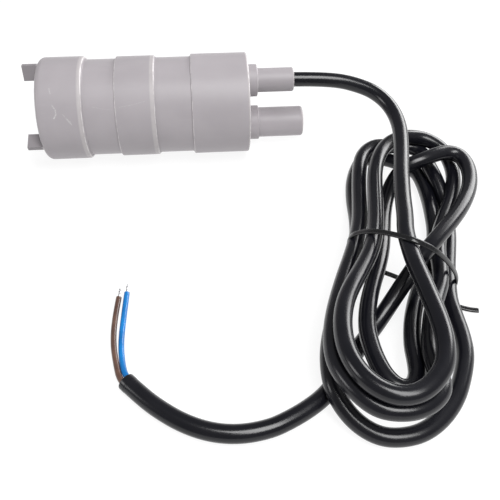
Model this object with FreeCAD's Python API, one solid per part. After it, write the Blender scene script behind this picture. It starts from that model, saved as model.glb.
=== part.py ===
import FreeCAD, Part
import math
import os
from FreeCAD import Vector

os.makedirs("parts", exist_ok=True)

# Submersible pump, lying on its side. The pump's axis is X, outlet and cable end towards +X,
# +Z up, floor at z = 0. Origin under the middle of the pump. Millimetres throughout.

# Outer shell: the caps and the band are glued over one tube
tube_diameter = 40.9
tube_wall = 1.9
glue_gap = 0.05
bottom_cap_wall = 1.35
bottom_cap_length = 19.2
bottom_cap_corner = 2.6
bottom_cap_rim_round = 1.15
top_cap_wall = 1.0
top_cap_length = 24.4
top_cap_corner = 1.0
band_wall = 0.85
band_length = 16.6
band_rim_round = 0.7
rim_round = 0.45
lower_gap = 13.3
upper_gap = 15.2
cap_end_wall = 2.6
lower_seat_depth = 8.5
upper_seat_depth = 19.0

# Intake end
foot_count = 3
foot_first_angle = 79.0
foot_length = 6.3
foot_thickness = 2.1
foot_inset = 1.65
foot_width = 6.7
intake_eye_radius = 7.6

# Outlet and cable end
spigot_roll = 96.7
lid_edge = 0.25
outlet_collar_wall = 0.95
outlet_collar_length = 5.2
outlet_diameter = 13.4
outlet_wall = 1.9
outlet_reach = 25.5
outlet_lip = 1.2
outlet_root_step = 0.3
cable_collar_wall = 1.75
cable_collar_length = 3.8
sleeve_wall = 1.8
sleeve_reach = 19.6
sleeve_lip = 0.8

# Cord
cord_diameter = 6.2
cord_clearance = 0.15
core_diameter = 2.1
wire_diameter = 1.7

# Motor capsule
water_gap = 1.75
capsule_wall = 1.2
lead_room = 12.0
capsule_front_gap = 0.4
plate_thickness = 3.0
plate_register_length = 5.0
lid_thickness = 3.0
lid_register_length = 2.5
grommet_wall = 1.1
flange_width = 0.9
flange_thickness = 1.2
rib_count = 6
rib_thickness = 1.6
rib_length = 34.0
rib_clearance = 0.05
slip_fit = 0.05
ring_length = 5.0
ring_inset = 2.0
o_ring_section = 1.2

# Motor
motor_gap = 1.75
can_seat = 1.0
can_wall = 1.0
can_front_wall = 1.4
bell_thickness = 3.0
bell_plug_length = 2.0
shaft_diameter = 2.3
running_gap = 0.05
bush_diameter = 7.0
rear_bush_length = 4.0
magnet_thickness = 2.6
magnet_length = 23.0
magnet_arc = 118.0
air_gap = 0.5
core_inset = 8.0
core_length = 18.0
pole_count = 3
pole_face_arc = 98.0
pole_face_share = 0.185
pole_width_share = 0.349
hub_share = 0.328
coil_share = 0.185
coil_inset = 0.9
coil_fit = 0.1
coil_end = 2.2
commutator_gap = 0.8
commutator_radius = 3.1
commutator_length = 5.0
commutator_slot = 0.4
brush_width = 2.6
brush_length = 3.0
brush_gap = 0.05
arm_thickness = 0.5
arm_width = 2.4
terminal_radius = 9.0
terminal_width = 2.8
terminal_thickness = 0.5
terminal_length = 5.0
screw_diameter = 2.4
screw_head_diameter = 4.4
screw_head_height = 1.4
screw_circle_radius = 8.0
shaft_hole_clearance = 0.4

# Impeller and seal
impeller_gap = 3.55
impeller_shroud = 1.2
vane_height = 5.0
vane_count = 6
vane_inner_radius = 6.2
vane_sweep = 58.0
vane_angle_width = 8.0
impeller_hub_radius = 3.4
impeller_nose_radius = 1.6
impeller_back_gap = 0.8
seal_diameter = 9.0
seal_thickness = 2.0
seal_web = 0.5

# Derived places along the axis
overall = (foot_length + bottom_cap_length + lower_gap + band_length + upper_gap
           + top_cap_length + outlet_reach)
seat_radius = tube_diameter / 2 + glue_gap
cap_radius = seat_radius + bottom_cap_wall
band_radius = seat_radius + band_wall
top_radius = seat_radius + top_cap_wall
axis_z = cap_radius
cap_x = foot_length - overall / 2
cap_end_x = cap_x + bottom_cap_length
band_x = cap_end_x + lower_gap
band_end_x = band_x + band_length
top_x = band_end_x + upper_gap
top_end_x = top_x + top_cap_length
tube_x = cap_end_x - lower_seat_depth
tube_end_x = top_x + upper_seat_depth
tube_inner = tube_diameter / 2 - tube_wall

# Derived places in the motor capsule
plate_x = tube_x + capsule_front_gap
capsule_x = plate_x + plate_thickness
capsule_radius = tube_inner - water_gap
capsule_inner = capsule_radius - capsule_wall
register_radius = capsule_inner - slip_fit
can_x = capsule_x + can_seat
bush_x = plate_x + seal_thickness + seal_web
can_radius = capsule_inner - motor_gap
can_inner = can_radius - can_wall
magnet_inner = can_inner - magnet_thickness
rotor_radius = magnet_inner - air_gap
core_x = can_x + core_inset
core_end_x = core_x + core_length
commutator_x = core_end_x + coil_end + commutator_gap
commutator_end_x = commutator_x + commutator_length
can_end_x = commutator_end_x + bell_plug_length
bell_end_x = can_end_x + bell_thickness
capsule_end_x = bell_end_x + lead_room
shaft_radius = shaft_diameter / 2
shaft_end_x = bell_end_x + 1.0
impeller_back_x = plate_x - impeller_back_gap
impeller_front_x = impeller_back_x - impeller_shroud - vane_height

# Cable and outlet axes
roll = math.radians(spigot_roll)
cord_radius = cord_diameter / 2
cord_bore_radius = cord_radius + cord_clearance
grommet_radius = cord_bore_radius + grommet_wall
spigot_offset = capsule_radius - grommet_radius - lid_edge
cable_y = spigot_offset * math.cos(roll)
cable_z = axis_z + spigot_offset * math.sin(roll)
outlet_y = -cable_y
outlet_z = 2 * axis_z - cable_z
outlet_radius = outlet_diameter / 2
outlet_bore_radius = outlet_radius - outlet_wall
outlet_collar_radius = outlet_radius + outlet_collar_wall
sleeve_radius = cord_bore_radius + sleeve_wall
cable_collar_radius = sleeve_radius + cable_collar_wall


def save(name, shape):
    shape.exportStep("parts/" + name + ".step")


def rod(x_start, x_end, radius, y=0.0, z=axis_z):
    """A round bar along X."""
    return Part.makeCylinder(radius, x_end - x_start, Vector(x_start, y, z), Vector(1, 0, 0))


def pipe(x_start, x_end, outer, inner, y=0.0, z=axis_z):
    """A round tube along X."""
    return rod(x_start, x_end, outer, y, z).cut(rod(x_start - 1, x_end + 1, inner, y, z))


def block(x_start, x_end, r_start, r_end, width, angle):
    """A box that stands out from the pump's axis at an angle, from one radius to another."""
    shape = Part.makeBox(x_end - x_start, r_end - r_start, width,
                         Vector(x_start, r_start, -width / 2))
    shape.rotate(Vector(0, 0, 0), Vector(1, 0, 0), angle)
    shape.translate(Vector(0, 0, axis_z))
    return shape


def turned(profile):
    """A solid of revolution about the pump's axis from (x, radius) corners."""
    corners = [Vector(x, 0, axis_z + r) for x, r in profile]
    wire = Part.makePolygon(corners + [corners[0]])
    return Part.Face(wire).revolve(Vector(0, 0, axis_z), Vector(1, 0, 0), 360)


def edges_at(shape, x, radius, y=0.0, z=axis_z):
    """The full circles of a given radius at a given x."""
    found = []
    for edge in shape.Edges:
        curve = edge.Curve
        if not isinstance(curve, Part.Circle) or abs(curve.Radius - radius) > 0.01:
            continue
        if curve.Center.distanceToPoint(Vector(x, y, z)) < 0.01:
            found.append(edge)
    return found


def rounded(shape, size, x, radius, y=0.0, z=axis_z):
    return shape.makeFillet(size, edges_at(shape, x, radius, y, z))


# Bottom cap: a cup that holds the tube, the impeller chamber, the intake eye and the feet
bottom_cap = turned([
    (cap_x, intake_eye_radius),
    (cap_x, cap_radius),
    (cap_end_x, cap_radius),
    (cap_end_x, seat_radius),
    (tube_x, seat_radius),
    (tube_x, tube_inner),
    (cap_x + cap_end_wall, tube_inner),
    (cap_x + cap_end_wall, intake_eye_radius),
])
bottom_cap = rounded(bottom_cap, bottom_cap_corner, cap_x, cap_radius)
rim = min(bottom_cap_rim_round, bottom_cap_wall - glue_gap)
bottom_cap = rounded(bottom_cap, rim, cap_end_x, cap_radius)
foot_root = cap_end_wall / 2
foot_outer_radius = cap_radius - foot_inset
foot_inner_radius = foot_outer_radius - foot_width
for i in range(foot_count):
    angle = foot_first_angle + i * 360.0 / foot_count
    foot = block(cap_x - foot_length, cap_x + foot_root, foot_inner_radius, foot_outer_radius + 1,
                 foot_thickness, angle)
    foot = foot.common(rod(cap_x - foot_length, cap_x + foot_root, foot_outer_radius))
    bottom_cap = bottom_cap.fuse(foot)
save("bottom_cap", bottom_cap.removeSplitter())

# Housing tube and the centre band glued round it
housing_tube = pipe(tube_x, tube_end_x, tube_diameter / 2, tube_inner)
save("housing_tube", housing_tube)

centre_band = pipe(band_x, band_end_x, band_radius, seat_radius)
centre_band = rounded(centre_band, rim_round, band_x, band_radius)
rim = min(band_rim_round, band_wall - glue_gap)
centre_band = rounded(centre_band, rim, band_end_x, band_radius)
save("centre_band", centre_band)

# Top cap: a cup with an end wall that carries the two collars
top_cap = turned([
    (top_x, seat_radius),
    (top_x, top_radius),
    (top_end_x, top_radius),
    (top_end_x, 0),
    (top_end_x - cap_end_wall, 0),
    (top_end_x - cap_end_wall, tube_inner),
    (tube_end_x, tube_inner),
    (tube_end_x, seat_radius),
])
top_cap = rounded(top_cap, rim_round, top_x, top_radius)
top_cap = rounded(top_cap, top_cap_corner, top_end_x, top_radius)
cable_collar_x = top_end_x + cable_collar_length
outlet_collar_x = top_end_x + outlet_collar_length
cable_collar = rod(top_end_x - 1, cable_collar_x, cable_collar_radius, cable_y, cable_z)
outlet_collar = rod(top_end_x - 1, outlet_collar_x, outlet_collar_radius,
                    outlet_y, outlet_z)
top_cap = top_cap.fuse(cable_collar).fuse(outlet_collar)
socket_floor_x = top_end_x - cap_end_wall / 2
sleeve_socket = rod(socket_floor_x, cable_collar_x + 1, sleeve_radius + glue_gap,
                    cable_y, cable_z)
outlet_root_radius = outlet_radius - outlet_root_step
outlet_socket = rod(socket_floor_x, outlet_collar_x + 1, outlet_root_radius + glue_gap,
                    outlet_y, outlet_z)
cord_hole = rod(top_end_x - cap_end_wall - 1, top_end_x, cord_bore_radius, cable_y, cable_z)
flow_hole = rod(top_end_x - cap_end_wall - 1, top_end_x, outlet_bore_radius, outlet_y, outlet_z)
top_cap = top_cap.cut(sleeve_socket).cut(outlet_socket).cut(cord_hole).cut(flow_hole)
top_cap = rounded(top_cap, rim_round, cable_collar_x, cable_collar_radius,
                  cable_y, cable_z)
top_cap = rounded(top_cap, rim_round, outlet_collar_x, outlet_collar_radius,
                  outlet_y, outlet_z)
save("top_cap", top_cap)

# Outlet spigot for the hose, and the sleeve that the cord comes out of
outlet_end_x = top_end_x + outlet_reach
outlet_spigot = pipe(socket_floor_x, outlet_end_x, outlet_root_radius, outlet_bore_radius,
                     outlet_y, outlet_z)
outlet_spigot = outlet_spigot.fuse(pipe(outlet_collar_x, outlet_end_x, outlet_radius,
                                        outlet_bore_radius, outlet_y, outlet_z))
outlet_spigot = outlet_spigot.removeSplitter()
outlet_spigot = rounded(outlet_spigot, outlet_lip, outlet_end_x, outlet_radius,
                        outlet_y, outlet_z)
save("outlet_spigot", outlet_spigot)

sleeve_end_x = top_end_x + sleeve_reach
cable_sleeve = pipe(socket_floor_x, sleeve_end_x, sleeve_radius, cord_bore_radius,
                    cable_y, cable_z)
cable_sleeve = rounded(cable_sleeve, sleeve_lip, sleeve_end_x, sleeve_radius,
                       cable_y, cable_z)
save("cable_sleeve", cable_sleeve)

# Seal plate: closes the wet side of the motor capsule and centres the motor
register_end_x = capsule_x + plate_register_length
can_bore = can_radius + slip_fit
seal_plate = turned([
    (plate_x, shaft_radius + shaft_hole_clearance),
    (plate_x, capsule_radius),
    (capsule_x, capsule_radius),
    (capsule_x, register_radius),
    (register_end_x, register_radius),
    (register_end_x, can_bore),
    (can_x, can_bore),
    (can_x, bush_diameter / 2 + slip_fit),
    (bush_x, bush_diameter / 2 + slip_fit),
    (bush_x, shaft_radius + shaft_hole_clearance),
])
seal_pocket = rod(plate_x - 1, plate_x + seal_thickness, seal_diameter / 2)
seal_plate = seal_plate.cut(seal_pocket)
groove_x = capsule_x + plate_register_length / 2
groove_radius = register_radius - o_ring_section


def o_ring_groove(x_centre):
    return pipe(x_centre - o_ring_section / 2 - 0.05, x_centre + o_ring_section / 2 + 0.05,
                register_radius + 1, groove_radius)


def o_ring(x_centre):
    ring_radius = groove_radius + o_ring_section / 2
    return Part.makeTorus(ring_radius, o_ring_section / 2 - 0.02,
                          Vector(x_centre, 0, axis_z), Vector(1, 0, 0))


seal_plate = seal_plate.cut(o_ring_groove(groove_x))
screw_holes = []
for side in (1, -1):
    y = side * screw_circle_radius
    screw_holes.append(rod(plate_x - 1, can_x + 1, screw_diameter / 2 + slip_fit, y))
    screw_holes.append(rod(plate_x - 1, plate_x + screw_head_height,
                           screw_head_diameter / 2 + slip_fit, y))
seal_plate = seal_plate.cut(screw_holes)
save("seal_plate", seal_plate)
save("plate_o_ring", o_ring(groove_x))

# Lip seal round the shaft, in the pocket on the wet side
shaft_seal = pipe(plate_x, plate_x + seal_thickness, seal_diameter / 2 - 0.02,
                  shaft_radius + running_gap)
save("shaft_seal", shaft_seal)

# Two screws with sunk heads hold the motor to the seal plate
screws = []
for side in (1, -1):
    y = side * screw_circle_radius
    head = rod(plate_x, plate_x + screw_head_height, screw_head_diameter / 2, y)
    shank = rod(plate_x, can_x + can_front_wall, screw_diameter / 2, y)
    screws.append(head.fuse(shank).removeSplitter())
save("motor_screws", Part.makeCompound(screws))

# Motor capsule: a thin dry sleeve, centred in the housing by ribs that leave a water way
motor_capsule = pipe(capsule_x, capsule_end_x, capsule_radius, capsule_inner)
rib_x = (capsule_x + capsule_end_x - rib_length) / 2
for i in range(rib_count):
    rib = block(rib_x, rib_x + rib_length, capsule_inner + capsule_wall / 2,
                tube_inner - rib_clearance, rib_thickness, i * 360.0 / rib_count)
    motor_capsule = motor_capsule.fuse(rib)
save("motor_capsule", motor_capsule.removeSplitter())

# Capsule lid with the grommet that the cord passes through
flange_radius = grommet_radius + flange_width
lid_end_x = capsule_end_x + lid_thickness
lid_register_x = capsule_end_x - lid_register_length
capsule_lid = turned([
    (capsule_end_x, 0),
    (lid_end_x, 0),
    (lid_end_x, capsule_radius),
    (capsule_end_x, capsule_radius),
    (capsule_end_x, register_radius),
    (lid_register_x, register_radius),
    (lid_register_x, 0),
])
lid_hole = rod(capsule_end_x, lid_end_x + 1, grommet_radius, cable_y, cable_z)
cord_bore = rod(lid_register_x - 1, lid_end_x + flange_thickness + 1, cord_bore_radius,
                cable_y, cable_z)
save("capsule_lid", capsule_lid.cut([lid_hole, cord_bore]))

grommet = rod(capsule_end_x, lid_end_x, grommet_radius, cable_y, cable_z)
flange = rod(lid_end_x, lid_end_x + flange_thickness, flange_radius, cable_y, cable_z)
save("cable_grommet", grommet.fuse(flange).removeSplitter().cut(cord_bore))

# Motor can with its closed front, and the bronze bush in it
motor_can = turned([
    (can_x, bush_diameter / 2),
    (can_x, can_radius),
    (can_end_x, can_radius),
    (can_end_x, can_inner),
    (can_x + can_front_wall, can_inner),
    (can_x + can_front_wall, bush_diameter / 2),
])
can_screw_holes = []
for side in (1, -1):
    can_screw_holes.append(rod(can_x - 1, can_x + can_front_wall + 1, screw_diameter / 2,
                               side * screw_circle_radius))
save("motor_can", motor_can.cut(can_screw_holes))
bush_bore = shaft_radius + running_gap
save("front_bush", pipe(bush_x, can_x + can_front_wall, bush_diameter / 2, bush_bore))

# End bell with the rear bush
bell_bore = bush_diameter / 2
end_bell = turned([
    (can_end_x, bell_bore),
    (can_end_x - bell_plug_length, bell_bore),
    (can_end_x - bell_plug_length, can_inner - slip_fit),
    (can_end_x, can_inner - slip_fit),
    (can_end_x, can_radius),
    (bell_end_x, can_radius),
    (bell_end_x, bell_bore),
])
rear_bush_x = bell_end_x - rear_bush_length
terminal_x = can_end_x - bell_plug_length
terminal_slots = []
for side in (1, -1):
    slot = Part.makeBox(bell_thickness + bell_plug_length + 2, terminal_thickness,
                        terminal_width)
    slot.translate(Vector(terminal_x - 1, side * terminal_radius - terminal_thickness / 2,
                          axis_z - terminal_width / 2))
    terminal_slots.append(slot)
end_bell = end_bell.cut(terminal_slots)
save("end_bell", end_bell)
save("rear_bush", pipe(rear_bush_x, bell_end_x, bush_diameter / 2, bush_bore))

# Rubber ring that steadies the back of the motor in the capsule
ring_end_x = can_end_x - ring_inset
save("motor_ring", pipe(ring_end_x - ring_length, ring_end_x, register_radius,
                        can_radius + slip_fit))

# Two arc magnets inside the can
magnet_x = core_x + core_length / 2 - magnet_length / 2
for name, middle in (("magnet_upper", 90.0), ("magnet_lower", 270.0)):
    magnet = Part.makeCylinder(can_inner - 0.02, magnet_length, Vector(0, 0, 0),
                               Vector(0, 0, 1), magnet_arc)
    bore = Part.makeCylinder(magnet_inner, magnet_length + 2, Vector(0, 0, -1))
    magnet = magnet.cut(bore)
    magnet.rotate(Vector(0, 0, 0), Vector(0, 0, 1), -magnet_arc / 2)
    magnet.rotate(Vector(0, 0, 0), Vector(0, 1, 0), 90)
    magnet.rotate(Vector(0, 0, 0), Vector(1, 0, 0), middle - 270.0)
    magnet.translate(Vector(magnet_x, 0, axis_z))
    save(name, magnet)

# Brushes, the spring arms that press them on, and the terminals
brush_x = commutator_x + (commutator_length - brush_width) / 2
brush_start = commutator_radius + brush_gap
for name, side in (("left", 1), ("right", -1)):
    angle = 0 if side == 1 else 180
    save("brush_" + name, block(brush_x, brush_x + brush_width, brush_start,
                                brush_start + brush_length, brush_width, angle))
    arm_radius = brush_start + brush_length
    arm = block(brush_x, terminal_x, arm_radius, arm_radius + arm_thickness, arm_width, angle)
    foot_of_arm = block(terminal_x - arm_thickness, terminal_x, arm_radius,
                        terminal_radius + terminal_thickness / 2, arm_width, angle)
    save("brush_arm_" + name, arm.fuse(foot_of_arm).removeSplitter())
    terminal = Part.makeBox(terminal_length + bell_thickness + bell_plug_length,
                            terminal_thickness, terminal_width)
    terminal.translate(Vector(terminal_x, side * terminal_radius - terminal_thickness / 2,
                              axis_z - terminal_width / 2))
    save("terminal_" + name, terminal)

# Rotor: shaft, three-pole core, coils and commutator
save("shaft", rod(impeller_front_x + 1, shaft_end_x, shaft_radius))
hub_radius = rotor_radius * hub_share
pole_width = rotor_radius * pole_width_share
pole_face_thickness = rotor_radius * pole_face_share
coil_thickness = rotor_radius * coil_share

core = rod(core_x, core_end_x, hub_radius)
for i in range(pole_count):
    angle = 90 + i * 360.0 / pole_count
    pole = block(core_x, core_end_x, 0, rotor_radius - pole_face_thickness / 2, pole_width, angle)
    face = Part.makeCylinder(rotor_radius, core_length, Vector(0, 0, 0), Vector(0, 0, 1),
                             pole_face_arc)
    face = face.cut(Part.makeCylinder(rotor_radius - pole_face_thickness, core_length + 2,
                                      Vector(0, 0, -1)))
    face.rotate(Vector(0, 0, 0), Vector(0, 0, 1), -pole_face_arc / 2)
    face.rotate(Vector(0, 0, 0), Vector(0, 1, 0), 90)
    face.rotate(Vector(0, 0, 0), Vector(1, 0, 0), angle - 270.0)
    face.translate(Vector(core_x, 0, axis_z))
    core = core.fuse(pole).fuse(face)
shaft_hole = rod(core_x - 1, core_end_x + 1, shaft_radius)
save("armature_core", core.removeSplitter().cut(shaft_hole))

coil_inner = hub_radius + coil_inset
coil_half_width = pole_width / 2 + coil_thickness
coil_limit = rotor_radius - pole_face_thickness - coil_fit
coil_outer = math.sqrt(coil_limit ** 2 - coil_half_width ** 2)
for i in range(pole_count):
    angle = 90 + i * 360.0 / pole_count
    coil = block(core_x - coil_end, core_end_x + coil_end, coil_inner, coil_outer,
                 2 * coil_half_width, angle)
    opening = block(core_x - coil_fit, core_end_x + coil_fit, coil_inner - 1, coil_outer + 1,
                    pole_width + coil_fit, angle)
    save("coil_%d" % (i + 1), coil.cut(opening))

commutator = rod(commutator_x, commutator_end_x, commutator_radius)
for i in range(pole_count):
    slot = block(commutator_x - 1, commutator_end_x + 1, commutator_radius - 0.7,
                 commutator_radius + 1, commutator_slot, 30 + i * 360.0 / pole_count)
    commutator = commutator.cut(slot)
save("commutator", commutator.cut(rod(commutator_x - 1, commutator_end_x + 1, shaft_radius)))

# Impeller: a back disc with swept vanes that draw water in at the eye
impeller_radius = tube_inner - impeller_gap


def polar(radius, degrees):
    a = math.radians(degrees)
    return Vector(impeller_front_x, radius * math.cos(a), axis_z + radius * math.sin(a))


def vane(start):
    """One swept blade, bounded by the same arc at its leading and trailing side."""
    middle_radius = (vane_inner_radius + impeller_radius) / 2

    def side_arc(offset):
        return Part.Arc(polar(vane_inner_radius, start + offset),
                        polar(middle_radius, start + offset + vane_sweep * 0.36),
                        polar(impeller_radius, start + offset + vane_sweep)).toShape()

    first = side_arc(0)
    second = side_arc(vane_angle_width)
    inner_edge = Part.makeLine(polar(vane_inner_radius, start),
                               polar(vane_inner_radius, start + vane_angle_width))
    outer_edge = Part.makeLine(polar(impeller_radius, start + vane_sweep),
                               polar(impeller_radius, start + vane_sweep + vane_angle_width))
    outline = Part.Wire(Part.__sortEdges__([inner_edge, first, outer_edge, second]))
    return Part.Face(outline).extrude(Vector(vane_height + impeller_shroud / 2, 0, 0))


impeller = rod(impeller_back_x - impeller_shroud, impeller_back_x, impeller_radius)
hub = rod(impeller_front_x, impeller_back_x, impeller_hub_radius)
hub = rounded(hub, impeller_nose_radius, impeller_front_x, impeller_hub_radius)
impeller = impeller.fuse(hub)
for i in range(vane_count):
    impeller = impeller.fuse(vane(i * 360.0 / vane_count))
impeller_bore = rod(impeller_front_x + 1, impeller_back_x + 1, shaft_radius)
save("impeller", impeller.removeSplitter().cut(impeller_bore))


# Cord paths: straight runs joined by tangent arcs
arc_share = 0.45


def route_path(points, label):
    """Edges of straight runs joined by arcs as large as the runs allow."""
    corners = [Vector(*p) for p in points]
    edges = []
    radii = []
    last = corners[0]
    for before, corner, after in zip(corners, corners[1:], corners[2:]):
        back = before - corner
        ahead = after - corner
        cut_back = arc_share * min(back.Length, ahead.Length)
        back.normalize()
        ahead.normalize()
        turn = math.pi - back.getAngle(ahead)
        start = corner + back * cut_back
        end = corner + ahead * cut_back
        radius = cut_back / math.tan(turn / 2)
        bisector = back + ahead
        bisector.normalize()
        middle = corner + bisector * (radius / math.cos(turn / 2) - radius)
        if start.distanceToPoint(last) > 1e-6:
            edges.append(Part.makeLine(last, start))
        edges.append(Part.Arc(start, middle, end).toShape())
        radii.append(round(radius, 1))
        last = end
    edges.append(Part.makeLine(last, corners[-1]))
    print(label, "radii", radii)
    return Part.Wire(edges)


def swept(path, radius, label):
    """A round cord along a path, with its volume against section times length."""
    start = path.Edges[0].valueAt(path.Edges[0].FirstParameter)
    heading = path.Edges[0].tangentAt(path.Edges[0].FirstParameter)
    section = Part.Wire(Part.makeCircle(radius, start, heading))
    cord = path.makePipeShell([section], True, False)
    share = cord.Volume / (math.pi * radius ** 2 * path.Length)
    print(label, "length %.1f volume share %.4f" % (path.Length, share))
    return cord


# The hank: four stacked loops, drawn in at the waist by the tie, in a frame of its own.
# Its waist lies at hank_x, hank_y; the long way is turned from Y by hank_turn.
# Each loop has its own waist strands, reach, lean to the right and end radius.
hank_x = 84.0
hank_y = -99.5
hank_turn = 14.0
loops = 4
layer_gap = 0.75
wire_gap = 0.3
layer_pitch = cord_diameter + layer_gap
hank_lift = wire_diameter + wire_gap
waist_right = (1.5, 9.0, 6.5, 22.5, 1.5)
waist_left = (14.5, 20.5, 11.0, 20.5)
bottom_reach = (59.0, 61.0, 49.0, 60.0)
bottom_lean = (-4.0, -5.0, 0.5, -1.0)
bottom_radius = (14.5, 16.0, 12.5, 20.5)
top_reach = (77.0, 78.0, 78.0, 73.0)
top_lean = (4.0, 1.0, -4.0, 12.0)
top_radius = (15.0, 16.0, 15.0, 14.5)
lobe_tangent = 1.16
lead_turn = 12.0
tail_turn = -29.0

lead_height = cord_radius + hank_lift + loops * layer_pitch
last_quarter = 4 * loops + 1


def hank_to_world(u, v, z):
    a = math.radians(hank_turn)
    return Vector(hank_x + u * math.cos(a) + v * math.sin(a),
                  hank_y - u * math.sin(a) + v * math.cos(a), z)


def hank_heading(u, v):
    return hank_to_world(u, v, 0) - hank_to_world(0, 0, 0)


def hank_node(n):
    """Place and heading of the cord at quarter turn n, and the radius of the loop's end there."""
    loop, side = divmod(n, 4)
    z = lead_height - layer_pitch * loop
    if side == 1:
        turn = math.radians({1: lead_turn, last_quarter: tail_turn}.get(n, 0.0))
        return hank_to_world(waist_right[loop], 0, z), \
            hank_heading(math.sin(turn), -math.cos(turn)), None
    if side == 2:
        return hank_to_world(bottom_lean[loop], -bottom_reach[loop], z), \
            hank_heading(-1, 0), bottom_radius[loop]
    if side == 3:
        return hank_to_world(-waist_left[loop], 0, z), hank_heading(0, 1), None
    return hank_to_world(top_lean[loop - 1], top_reach[loop - 1], z), \
        hank_heading(1, 0), top_radius[loop - 1]


def arc_from(start, corner, end):
    """The arc that leaves start towards corner and reaches end from it."""
    chord_middle = (start + end) * 0.5
    outward = corner - chord_middle
    half_chord = (end - start).Length / 2
    half_turn = math.atan2(outward.Length, half_chord)
    outward.normalize()
    middle = chord_middle + outward * (half_chord * math.tan(half_turn / 2))
    return Part.Arc(start, middle, end).toShape()


def quarter(n):
    """Two tangent arcs from quarter turn n to the next, the lobe's arc the larger turn."""
    start, heading, lobe = hank_node(n)
    end, last_heading, last_lobe = hank_node(n + 1)
    chord = end - start
    bend = 1 - heading.dot(last_heading)
    if lobe:
        first = lobe * lobe_tangent
        second = (chord.dot(chord) - 2 * first * chord.dot(heading)) / (
            2 * (chord.dot(last_heading) + first * bend))
    else:
        second = last_lobe * lobe_tangent
        first = (chord.dot(chord) - 2 * second * chord.dot(last_heading)) / (
            2 * (chord.dot(heading) + second * bend))
    corner = start + heading * first
    last_corner = end - last_heading * second
    joint = (corner * second + last_corner * first) * (1 / (first + second))
    return [arc_from(start, corner, joint), arc_from(joint, last_corner, end)]


hank_edges = []
for n in range(1, last_quarter):
    hank_edges += quarter(n)
hank_path = Part.Wire(hank_edges)


def least_gap(path, step, skip):
    """Smallest gap between stretches of the cord that lie apart along its length."""
    points = path.discretize(Distance=step)
    apart = int(skip / step)
    least = 1e9
    for i, p in enumerate(points):
        for q in points[i + apart:]:
            least = min(least, p.distanceToPoint(q))
    return least - cord_diameter


print("hank radii", sorted(set(round(e.Curve.Radius, 1) for e in hank_edges))[:8])
gap_step = 2.0
gap_skip = 30.0
print("hank gap to itself %.2f" % least_gap(hank_path, gap_step, gap_skip))
cord_hank = swept(hank_path, cord_radius, "cord_hank")
save("cord_hank", cord_hank)

# The captive stretch: from inside the capsule, through the grommet and into the sleeve
sheath_x = lid_register_x - 1.0
captive_end = 10.0
lead_x = sleeve_end_x - captive_end
save("cord_captive", rod(sheath_x, lead_x, cord_radius, cable_y, cable_z))

# The lead: out of the sleeve, round over the top of the hank and down to its waist
hank_start, start_heading = hank_node(1)[:2]
hank_end, end_heading = hank_node(last_quarter)[:2]
join_run = 13.0
lead_join = hank_start - start_heading * join_run
lead_points = [
    (lead_x, cable_y, cable_z),
    (60.5, cable_y, cable_z),
    (75.5, -4.2, 33.8),
    (86.5, -12.0, 33.5),
    (92.4, -25.5, 33.7),
    (92.8, -42.0, 33.7),
    (89.6, -57.0, 33.3),
    (86.6, -71.5, 33.0),
    (lead_join.x, lead_join.y, lead_join.z),
    (hank_start.x, hank_start.y, hank_start.z),
]
save("cord_lead", swept(route_path(lead_points, "cord_lead"), cord_radius, "cord_lead"))

# The tail: from the bottom strand of the hank, under its left side, out to the cut end
tail_floor = cord_radius + 0.05
tail_leave = hank_end + end_heading * 9.0
tail_points = [
    (hank_end.x, hank_end.y, hank_end.z),
    (tail_leave.x, tail_leave.y, tail_leave.z),
    (73.8, -116.6, tail_floor + 0.6),
    (64.0, -126.6, tail_floor),
    (53.0, -137.4, tail_floor),
    (41.0, -146.4, tail_floor),
    (26.0, -150.9, tail_floor),
    (10.0, -149.0, tail_floor),
    (-4.0, -140.6, tail_floor),
    (-13.6, -130.6, tail_floor),
]
save("cord_tail", swept(route_path(tail_points, "cord_tail"), cord_radius, "cord_tail"))

# The two cores that come out of the cut sheath, with their tinned ends
core_radius = core_diameter / 2
tip_radius = core_radius * 0.62
sheath_end = Vector(*tail_points[-1])
outward = sheath_end - Vector(*tail_points[-2])
outward.normalize()
sideways = Vector(outward.y, -outward.x, 0)
core_spread = 1.35
routes = {
    "core_blue": [
        sheath_end + sideways * core_spread,
        sheath_end + sideways * core_spread + outward * 3.0,
        Vector(-14.8, -120.4, 2.2),
        Vector(-14.7, -108.0, 1.4),
        Vector(-15.3, -95.0, 1.2),
        Vector(-15.7, -84.5, 1.2),
    ],
    "core_brown": [
        sheath_end - sideways * core_spread,
        sheath_end - sideways * core_spread + outward * 3.2,
        Vector(-20.3, -119.4, 2.0),
        Vector(-21.6, -109.0, 1.4),
        Vector(-20.9, -98.5, 1.2),
        Vector(-19.3, -90.6, 1.2),
    ],
}
tip_length = {"core_blue": 3.6, "core_brown": 3.6}
for name, route in routes.items():
    save(name, swept(route_path([tuple(p) for p in route], name), core_radius, name))
    end = route[-1]
    along = end - route[-2]
    along.normalize()
    tip = Part.makeCylinder(tip_radius, tip_length[name], end, along)
    save(name.replace("core", "bare_tip"), tip)

# Inner leads from the end of the sheath to the terminals
lug_gap = 0.05
for name, side in (("inner_lead_blue", 1), ("inner_lead_brown", -1)):
    y_start = cable_y + side * core_spread
    y_lug = side * (terminal_radius + terminal_thickness / 2 + core_radius + lug_gap)
    y_middle = (y_start + y_lug) / 2
    route = [
        (sheath_x, y_start, cable_z),
        (sheath_x - 3.0, y_start, cable_z),
        (sheath_x - 5.2, y_middle, cable_z - 3.2),
        (sheath_x - 5.0, y_lug, cable_z - 6.6),
        (sheath_x - 4.6, y_lug, axis_z),
    ]
    save(name, swept(route_path(route, name), core_radius, name))

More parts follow.
